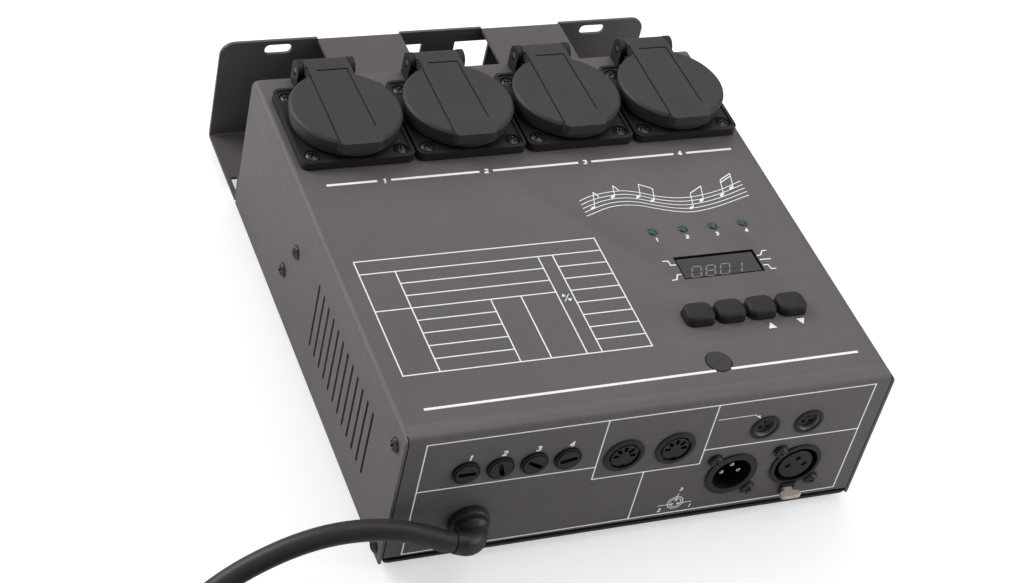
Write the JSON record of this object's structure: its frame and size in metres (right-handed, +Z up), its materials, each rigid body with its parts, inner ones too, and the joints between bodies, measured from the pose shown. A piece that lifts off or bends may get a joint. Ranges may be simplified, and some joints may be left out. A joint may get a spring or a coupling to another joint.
{
  "type": "dimmer pack",
  "caption": "Flat steel dimmer pack with lidded mains sockets, buttons and display on top, a connector panel at the front, a hanging bracket behind and a mains lead",
  "frame": {"origin": "middle of the case's and bracket's outline, on the surface that the feet stand on", "axes": "+X to the right seen from the connector panel, +Y from the connector panel to the bracket, +Z up"},
  "size_m": [0.341, 0.4251, 0.0905],
  "materials": {
    "cover_paint": "satin powder coat",
    "bracket_paint": "satin powder coat",
    "socket_plastic": "moulded plastic",
    "lid_plastic": "moulded plastic",
    "button_plastic": "moulded plastic",
    "lamp_lens": "tinted clear lens",
    "smoked_plastic": "smoked clear plastic",
    "connector_plastic": "moulded plastic",
    "lead_rubber": "soft matt rubber",
    "foot_rubber": "soft matt rubber",
    "bare_steel": "nickel plated",
    "bare_aluminium": "extruded",
    "circuit_board": "solder mask over glass fibre laminate",
    "copper_winding": "enamelled copper wire"
  },
  "bodies": {
    "case": {"cover": "cover_paint", "base_tray": "bracket_paint", "hanging_bracket": "bracket_paint", "foot_1": "foot_rubber", "foot_2": "foot_rubber", "foot_3": "foot_rubber", "foot_4": "foot_rubber", "socket_body_1": "socket_plastic", "lid_pin_1": "bare_steel", "socket_body_2": "socket_plastic", "lid_pin_2": "bare_steel", "socket_body_3": "socket_plastic", "lid_pin_3": "bare_steel", "socket_body_4": "socket_plastic", "lid_pin_4": "bare_steel", "lamp_1": "lamp_lens", "lamp_2": "lamp_lens", "lamp_3": "lamp_lens", "lamp_4": "lamp_lens", "control_board": "circuit_board", "display_window": "smoked_plastic", "digit_module": "connector_plastic", "infrared_window": "smoked_plastic", "fuse_holder_1": "connector_plastic", "fuse_holder_2": "connector_plastic", "fuse_holder_3": "connector_plastic", "fuse_holder_4": "connector_plastic", "din_in_socket": "connector_plastic", "din_thru_socket": "connector_plastic", "link_in_socket": "connector_plastic", "link_out_socket": "connector_plastic", "control_in_socket": "connector_plastic", "control_out_socket": "connector_plastic", "strain_relief_nut": "connector_plastic", "terminal_block": "connector_plastic", "strain_relief": "lead_rubber", "power_cord": "lead_rubber", "cord_coil": "lead_rubber", "mains_plug": "lead_rubber", "main_board": "circuit_board", "heat_sink": "bare_aluminium", "transformer": "bare_steel", "choke_1": "copper_winding", "choke_2": "copper_winding", "choke_3": "copper_winding", "choke_4": "copper_winding"},
    "lid_1": {"socket_lid_1": "lid_plastic"},
    "lid_2": {"socket_lid_2": "lid_plastic"},
    "lid_3": {"socket_lid_3": "lid_plastic"},
    "lid_4": {"socket_lid_4": "lid_plastic"},
    "key_1": {"button_1": "button_plastic"},
    "key_2": {"button_2": "button_plastic"},
    "key_3": {"button_3": "button_plastic"},
    "key_4": {"button_4": "button_plastic"},
    "cap_1": {"fuse_cap_1": "connector_plastic"},
    "cap_2": {"fuse_cap_2": "connector_plastic"},
    "cap_3": {"fuse_cap_3": "connector_plastic"},
    "cap_4": {"fuse_cap_4": "connector_plastic"},
    "latch": {"release_latch": "bare_steel"}
  },
  "joints": [
    {"name": "lid_1_hinge", "type": "hinge", "parent": "case", "child": "lid_1", "pos_m": [-0.0785, 0.09095, 0.0861], "axis": [-1, 0, 0], "range_deg": [0, 105], "stiffness_Nm_per_rad": 0.01, "springref_deg": -20.05},
    {"name": "lid_2_hinge", "type": "hinge", "parent": "case", "child": "lid_2", "pos_m": [-0.0258, 0.09095, 0.0861], "axis": [-1, 0, 0], "range_deg": [0, 105], "stiffness_Nm_per_rad": 0.01, "springref_deg": -20.05},
    {"name": "lid_3_hinge", "type": "hinge", "parent": "case", "child": "lid_3", "pos_m": [0.0269, 0.09095, 0.0861], "axis": [-1, 0, 0], "range_deg": [0, 105], "stiffness_Nm_per_rad": 0.01, "springref_deg": -20.05},
    {"name": "lid_4_hinge", "type": "hinge", "parent": "case", "child": "lid_4", "pos_m": [0.0796, 0.09095, 0.0861], "axis": [-1, 0, 0], "range_deg": [0, 105], "stiffness_Nm_per_rad": 0.01, "springref_deg": -20.05},
    {"name": "button_1_press", "type": "slide", "parent": "case", "child": "key_1", "axis": [0, 0, -1], "range_m": [0, 0.001], "stiffness_N_per_m": 300, "springref_m": -0.001},
    {"name": "button_2_press", "type": "slide", "parent": "case", "child": "key_2", "axis": [0, 0, -1], "range_m": [0, 0.001], "stiffness_N_per_m": 300, "springref_m": -0.001},
    {"name": "button_3_press", "type": "slide", "parent": "case", "child": "key_3", "axis": [0, 0, -1], "range_m": [0, 0.001], "stiffness_N_per_m": 300, "springref_m": -0.001},
    {"name": "button_4_press", "type": "slide", "parent": "case", "child": "key_4", "axis": [0, 0, -1], "range_m": [0, 0.001], "stiffness_N_per_m": 300, "springref_m": -0.001},
    {"name": "fuse_cap_1_turn", "type": "hinge", "parent": "case", "child": "cap_1", "pos_m": [-0.0803, -0.12605, 0.0547], "axis": [0, 1, 0], "range_deg": [0, 90]},
    {"name": "fuse_cap_2_turn", "type": "hinge", "parent": "case", "child": "cap_2", "pos_m": [-0.0657, -0.12605, 0.0547], "axis": [0, 1, 0], "range_deg": [0, 90]},
    {"name": "fuse_cap_3_turn", "type": "hinge", "parent": "case", "child": "cap_3", "pos_m": [-0.0511, -0.12605, 0.0547], "axis": [0, 1, 0], "range_deg": [0, 90]},
    {"name": "fuse_cap_4_turn", "type": "hinge", "parent": "case", "child": "cap_4", "pos_m": [-0.0365, -0.12605, 0.0547], "axis": [0, 1, 0], "range_deg": [0, 90]},
    {"name": "release_latch_press", "type": "slide", "parent": "case", "child": "latch", "axis": [0, 1, 0], "range_m": [0, 0.0013], "stiffness_N_per_m": 400, "springref_m": -0.001}
  ]
}
